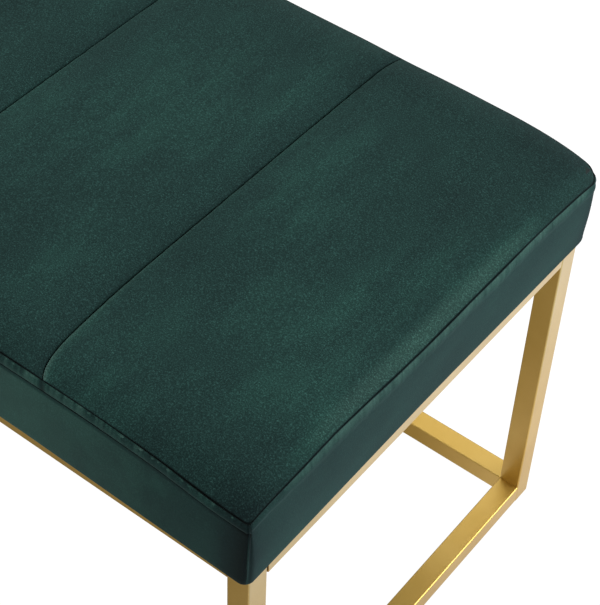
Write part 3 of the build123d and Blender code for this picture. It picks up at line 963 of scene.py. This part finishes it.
def run_along(piece, line, pitch):
    """Repeat a small piece that lies along X at an even pitch along a line of places."""
    length = np.linalg.norm(np.diff(line, axis=0), axis=1).sum()
    count = int(length / pitch)
    data = bpy.data.curves.new("guide", "CURVE")
    data.dimensions = "3D"
    data.twist_mode = "Z_UP"
    spline = data.splines.new("POLY")
    spline.points.add(len(line) - 1)
    spline.points.foreach_set("co", np.column_stack([line, np.ones(len(line))]).ravel())
    guide = bpy.data.objects.new("guide", data)
    bpy.context.scene.collection.objects.link(guide)
    bpy.ops.object.modifier_add(type="ARRAY")
    array = piece.modifiers[-1]
    array.count = count
    array.use_relative_offset = False
    array.use_constant_offset = True
    array.constant_offset_displace = (length / count, 0, 0)
    bpy.ops.object.modifier_apply(modifier=array.name)
    bpy.ops.object.modifier_add(type="CURVE")
    piece.modifiers[-1].object = guide
    piece.modifiers[-1].deform_axis = "POS_X"
    bpy.ops.object.modifier_apply(modifier=piece.modifiers[-1].name)
    bpy.data.objects.remove(guide)


class BENCH_OT_topstitch(bpy.types.Operator):
    """Sew the lines of topstitching along the front and the rear, below the border seam"""

    bl_idname = "bench.topstitch"
    bl_label = "Topstitch"

    def execute(self, context):
        for number, side in enumerate(BOXING_SIDES):
            if side in LONG_SIDES:
                self.sew(number, side)
        return {"FINISHED"}

    def sew(self, number, side):
        thread_radius, thread_inset = 0.45 * MM, STITCH_INSET + 0.35 * MM
        stitch_length = bpy.context.scene.bench_seat.stitch_length
        pitch = stitch_length * 1.2
        share, turn = side_stations(side_sizes(side)[0])
        height = SIDE_HEIGHT - band_drop(side, share)
        x, y = boxing_place(side, share, turn, np.full_like(share, -thread_inset), np.zeros_like(share))
        line = boxing_world(number, x, y, height)
        bpy.ops.object.select_all(action="DESELECT")
        bpy.ops.mesh.primitive_cylinder_add(
            vertices=6, radius=thread_radius, depth=stitch_length,
            location=(pitch / 2, 0, 0), rotation=(0, math.pi / 2, 0),
        )
        thread = bpy.context.active_object
        thread.name = thread.data.name = "topstitch_" + side
        bpy.ops.object.transform_apply(location=True, rotation=True, scale=True)
        run_along(thread, line, pitch)
        bpy.ops.object.shade_smooth_by_angle(angle=math.radians(70))
        place_piece(thread, shared(thread_material), "velvet")


def add_block(name, size, height):
    """A block of that size in the middle of the seat, with its centre at a height."""
    bpy.ops.object.select_all(action="DESELECT")
    bpy.ops.mesh.primitive_cube_add(size=1.0, location=(0, 0, height))
    block = bpy.context.active_object
    block.name = block.data.name = name
    block.scale = size
    bpy.ops.object.transform_apply(location=True, rotation=False, scale=True)
    return block


class BENCH_OT_foam(bpy.types.Operator):
    """Build the foam block under the cover, with its upper edges rounded off"""

    bl_idname = "bench.foam"
    bl_label = "Foam block"

    def execute(self, context):
        low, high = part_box("foam_pad")
        room = Vector((8 * MM, 8 * MM, 10 * MM))  # for the cover, which is drawn in
        size = high - low - room
        foam = add_block("foam_block", size, low.z + size.z / 2)
        bpy.ops.object.modifier_add(type="BEVEL")
        foam.modifiers[-1].width = 12 * MM
        foam.modifiers[-1].segments = 4
        bpy.ops.object.modifier_apply(modifier=foam.modifiers[-1].name)
        bpy.ops.object.shade_smooth_by_angle(angle=math.radians(40))
        # polyurethane foam, cut from a block: dull cream with open cells
        cream = speckled_material("cream_foam", "d8cfae", "e8e0c4", 1.5 * MM, 0.95)
        place_piece(foam, cream, "foam", "foam_pad")
        self.crease_shade_sheet(size)
        return {"FINISHED"}

    def crease_shade_sheet(self, foam_size):
        """A near-black sheet over the foam, which darkens the creases from below as painted shade"""
        inset, thickness, depth = 10 * MM, 0.8 * MM, 8 * MM
        size = (foam_size.x - inset, foam_size.y - inset, thickness)
        crease_shade_sheet = add_block("painted_shade_sheet", size, SEAM_HEIGHT - depth)
        # painted shade: a near-black sheet with the mottle of woven cloth, seen in the creases
        dark = speckled_material("painted_crease_shade_cloth", "0b1615", "122320", 2 * MM, 0.95)
        place_piece(crease_shade_sheet, dark, "velvet")


class BENCH_OT_frame_finish(bpy.types.Operator):
    """Finish the gold tubes, the hardware and the hidden pieces"""

    bl_idname = "bench.frame_finish"
    bl_label = "Frame finish"

    def execute(self, context):
        colours = context.scene.bench_frame
        nodes = frame["nodes"]
        gold = shared(gold_material)
        # steel screws, plated with zinc: a cool, soft shine
        zinc = speckled_material("zinc_plated_steel", "9b9d9b", colours.zinc, 3 * MM, 0.35, metallic=1.0)
        # steel bar inside the tubes, near-black as painted shade: the dark slot at the end of a rail
        steel_in_slot_shade = speckled_material("painted_slot_shade_steel", "1c1a18", "2c2926", 4 * MM, 0.6)
        # nylon, moulded: off-white and waxy
        nylon = speckled_material("moulded_nylon", "cfcdc4", colours.nylon, 2 * MM, 0.5)
        # polypropylene, spun into cloth: dull black
        cloth = speckled_material("spun_dust_cloth", "131314", colours.dust_cloth, 1.5 * MM, 0.95)
        # birch plywood, sanded: pale and warm
        plywood = speckled_material("birch_plywood", "a98354", "c9a878", 12 * MM, 0.7)
        finishes = (
            (gold, FRAME_NODES),
            (zinc, ("rail_screws", "seat_bolts", "seat_washers", "flanged_nuts")),
            (steel_in_slot_shade, ("rail_spigots_left", "rail_spigots_right")),
            (nylon, [name for name in nodes if name.startswith("glide_")]),
            (cloth, ("dust_cover",)),
            (plywood, ("seat_board",)),
        )
        for material, names in finishes:
            for name in names:
                dress(nodes[name], material)
        return {"FINISHED"}


def painted_floor_reflection(tree):
    """Painted reflection for the gold: the floor glows to glossy rays alone, dim in front of the bench,
    bright and cool past its right end.
    """
    front, near_end, far_end = (0.27, 0.24, 0.17, 1), (0.68, 0.655, 0.66, 1), (0.62, 0.77, 1.25, 1)
    place = add_node(
        tree, "ShaderNodeSeparateXYZ", {0: add_node(tree, "ShaderNodeTexCoord").outputs["Object"]}
    )
    # shares by the place on the floor, in metres
    past_end = add_node(
        tree, "ShaderNodeMapRange", {"Value": place.outputs["X"], "From Min": 0.40, "From Max": 0.62}
    )
    far_past_end = add_node(
        tree, "ShaderNodeMapRange", {"Value": place.outputs["X"], "From Min": 0.66, "From Max": 0.74}
    )
    behind = add_node(
        tree, "ShaderNodeMapRange", {"Value": place.outputs["Y"], "From Min": -0.1, "From Max": 0.2}
    )
    end_tint = add_node(
        tree, "ShaderNodeMix",
        {MIX_SHARE: far_past_end, MIX_FIRST: near_end, MIX_SECOND: far_end}, data_type="RGBA",
    )
    tint = add_node(
        tree, "ShaderNodeMix",
        {MIX_SHARE: past_end, MIX_FIRST: front, MIX_SECOND: end_tint.outputs[MIX_RESULT]}, data_type="RGBA",
    )
    gain = add_node(tree, "ShaderNodeMath", {0: behind, 1: 0.45, 2: 1.0}, operation="MULTIPLY_ADD")
    return add_node(tree, "ShaderNodeEmission", {"Color": tint.outputs[MIX_RESULT], "Strength": gain})


def floor_material():
    """White studio paper: white to the eye with a faint shadow, matte to the light that bounces."""
    material, tree = new_material("white_floor")
    seen = add_node(tree, "ShaderNodeLightPath").outputs
    shown = add_node(
        tree, "ShaderNodeMath",
        {0: seen["Is Camera Ray"], 1: seen["Is Transmission Ray"]}, operation="MAXIMUM",
    )
    share = add_node(tree, "ShaderNodeMath", {0: shown, 1: 0.93}, operation="MULTIPLY")
    matte = add_node(tree, "ShaderNodeBsdfDiffuse", {"Color": linear("e8e8e6")})
    glow = add_node(tree, "ShaderNodeEmission", {"Color": linear("ffffff"), "Strength": 1.08})
    paper = add_node(tree, "ShaderNodeMixShader", {0: share, 1: matte, 2: glow})
    # glossy rays see the painted reflection glow instead of the paper
    mirrored = add_node(
        tree, "ShaderNodeMixShader", {0: seen["Is Glossy Ray"], 1: paper, 2: painted_floor_reflection(tree)}
    )
    # seen from below it is clear, so that the underside of the bench shows
    below = add_node(tree, "ShaderNodeNewGeometry").outputs["Backfacing"]
    clear = add_node(tree, "ShaderNodeBsdfTransparent")
    one_sided = add_node(tree, "ShaderNodeMixShader", {0: below, 1: mirrored, 2: clear})
    add_node(tree, "ShaderNodeOutputMaterial", {"Surface": one_sided})
    return material


class BENCH_OT_stage(bpy.types.Operator):
    """Set the white floor, the soft light and the camera of the photograph"""

    bl_idname = "bench.stage"
    bl_label = "Stage"

    def execute(self, context):
        self.floor()
        self.world()
        self.lamps()
        self.camera()
        context.scene.view_settings.view_transform = "Standard"
        return {"FINISHED"}

    def floor(self):
        bpy.ops.object.select_all(action="DESELECT")
        bpy.ops.mesh.primitive_plane_add(size=30.0)
        floor = bpy.context.active_object
        floor.name = "white_floor"
        dress(floor, floor_material())

    def world(self):
        """A white backdrop, and a room that is brighter behind the bench on its right"""
        bright_way = (0.45, 0.55, 0.7)
        world = bpy.data.worlds.new("white_studio")
        bpy.context.scene.world = world
        world.use_nodes = True
        tree = world.node_tree
        tree.nodes.clear()
        seen = add_node(tree, "ShaderNodeLightPath").outputs
        way = add_node(tree, "ShaderNodeTexCoord").outputs["Generated"]
        to_light = add_node(tree, "ShaderNodeVectorMath", {0: way, 1: bright_way}, operation="DOT_PRODUCT")
        room = add_node(
            tree, "ShaderNodeMapRange",
            {"Value": to_light.outputs["Value"], "From Min": -1.0, "To Min": 0.12, "To Max": 0.75},
        )
        light = add_node(tree, "ShaderNodeMath", {0: room, 1: seen["Is Camera Ray"]}, operation="MAXIMUM")
        sky = add_node(tree, "ShaderNodeBackground", {"Color": linear("ffffff"), "Strength": light})
        add_node(tree, "ShaderNodeOutputWorld", {"Surface": sky})

    def lamps(self):
        seat_top, front_side = Vector((0.35, 0, 0.45)), Vector((0.0, -0.24, 0.42))
        self.lamp("key_softbox", (2.3, 1.3, 1.5), seat_top, size=1.6, power=53)
        self.lamp("top_softbox", (-0.6, 0.5, 2.6), seat_top, size=1.6, power=23)
        self.lamp("fill_softbox", (-0.5, -1.3, 0.9), front_side, size=0.6, power=5)

    def lamp(self, name, place, target, size, power):
        data = bpy.data.lights.new(name, "AREA")
        data.size = size
        data.energy = power
        lamp = bpy.data.objects.new(name, data)
        bpy.context.scene.collection.objects.link(lamp)
        lamp.location = place
        lamp.rotation_euler = (target - Vector(place)).to_track_quat("-Z", "Y").to_euler()

    def camera(self):
        stage = bpy.context.scene.bench_stage
        a, e, roll = stage.azimuth, stage.elevation, stage.roll
        back = Vector((math.sin(a) * math.cos(e), -math.cos(a) * math.cos(e), math.sin(e)))
        level = Vector((math.cos(a), math.sin(a), 0))
        up = back.cross(level)
        right = math.cos(roll) * level + math.sin(roll) * up
        up = back.cross(right)
        data = bpy.data.cameras.new("photo_camera")
        data.lens = stage.lens
        camera = bpy.data.objects.new("photo_camera", data)
        bpy.context.scene.collection.objects.link(camera)
        turn = Matrix((right, up, back)).transposed()
        camera.matrix_world = Matrix.Translation(FRAME_CORNER + Vector(stage.from_corner)) @ turn.to_4x4()
        bpy.context.scene.camera = camera


class BENCH_PT_panel(bpy.types.Panel):
    """Steps of the bench, in order"""

    bl_idname = "BENCH_PT_panel"
    bl_label = "Upholstered bench"
    bl_space_type = "VIEW_3D"
    bl_region_type = "UI"
    bl_category = "Bench"

    def draw(self, context):
        for step in STEPS:
            self.layout.operator(step.bl_idname)


STEPS = (
    BENCH_OT_top_panels,
    BENCH_OT_boxing,
    BENCH_OT_topstitch,
    BENCH_OT_foam,
    BENCH_OT_frame_finish,
    BENCH_OT_stage,
)
SETTINGS = {"bench_seat": SeatSettings, "bench_frame": FrameSettings, "bench_stage": StageSettings}


def register():
    for group in SETTINGS.values():
        bpy.utils.register_class(group)
    for name, group in SETTINGS.items():
        setattr(bpy.types.Scene, name, bpy.props.PointerProperty(type=group))
    for step in STEPS:
        bpy.utils.register_class(step)
    bpy.utils.register_class(BENCH_PT_panel)


def unregister():
    bpy.utils.unregister_class(BENCH_PT_panel)
    for step in reversed(STEPS):
        bpy.utils.unregister_class(step)
    for name, group in SETTINGS.items():
        delattr(bpy.types.Scene, name)
        bpy.utils.unregister_class(group)


def main():
    register()
    bpy.ops.bench.top_panels()
    bpy.ops.bench.boxing()
    bpy.ops.bench.topstitch()
    bpy.ops.bench.foam()
    bpy.ops.bench.frame_finish()
    bpy.ops.bench.stage()


if __name__ == "__main__":
    main()
